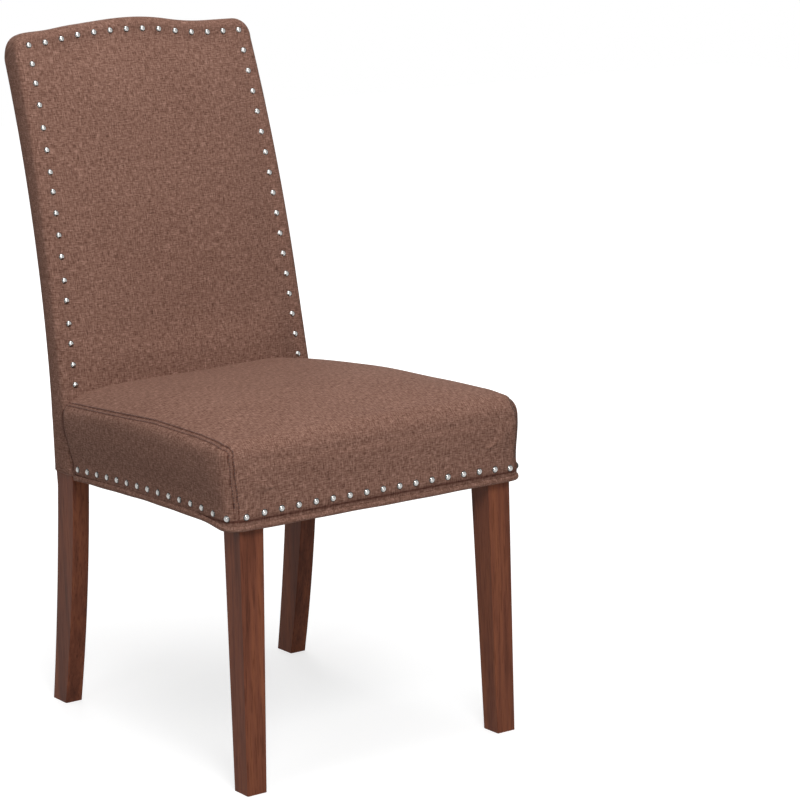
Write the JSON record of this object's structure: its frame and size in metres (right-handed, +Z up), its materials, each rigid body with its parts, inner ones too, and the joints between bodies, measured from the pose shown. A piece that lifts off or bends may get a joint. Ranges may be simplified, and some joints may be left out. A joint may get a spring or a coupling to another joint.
{
  "type": "upholstered parsons dining chair",
  "caption": "Armless upholstered dining chair with a camel-back top, sabre rear posts, tapered wooden front legs, a crowned waterfall seat and nail-head trim along back and seat",
  "frame": {"origin": "on the floor under the middle of the chair's bounding box", "axes": "+X is to the right in a front view, +Y points from the front legs to the back, +Z is up"},
  "size_m": [0.4902, 0.6725, 1.001],
  "materials": {
    "cover_fabric": "heathered linen-look weave, matt, with slubs both ways",
    "show_wood": "reddish brown stain, satin lacquer, eased edges",
    "frame_wood": "plain sawn hardwood, unfinished",
    "foam": "cut polyurethane foam",
    "nail_metal": "bright nickel-plated domes",
    "hardware_steel": "zinc-plated steel",
    "webbing": "woven upholstery strap",
    "dust_cloth": "thin black non-woven cloth"
  },
  "bodies": {
    "root": {"back_cover_front": "cover_fabric", "back_cover_rear": "cover_fabric", "back_foam": "foam", "back_lower_rail": "frame_wood", "back_nails_left": "nail_metal", "back_nails_right": "nail_metal", "back_nails_top": "nail_metal", "back_webbing": "webbing", "block_screws": "hardware_steel", "corner_block_front_left": "frame_wood", "corner_block_front_right": "frame_wood", "corner_block_rear_left": "frame_wood", "corner_block_rear_right": "frame_wood", "crest_rail": "frame_wood", "dust_cover": "dust_cloth", "frame_dowels": "frame_wood", "front_leg_left": "show_wood", "front_leg_right": "show_wood", "leg_bolts": "hardware_steel", "leg_nuts": "hardware_steel", "leg_washers": "hardware_steel", "rear_post_left": "show_wood", "rear_post_right": "show_wood", "seat_cover_left": "cover_fabric", "seat_cover_right": "cover_fabric", "seat_cover_top": "cover_fabric", "seat_foam": "foam", "seat_nails_front": "nail_metal", "seat_nails_left": "nail_metal", "seat_nails_right": "nail_metal", "seat_rail_front": "frame_wood", "seat_rail_left": "frame_wood", "seat_rail_rear": "frame_wood", "seat_rail_right": "frame_wood", "seat_webbing": "webbing", "seat_welt": "cover_fabric"}
  },
  "joints": []
}
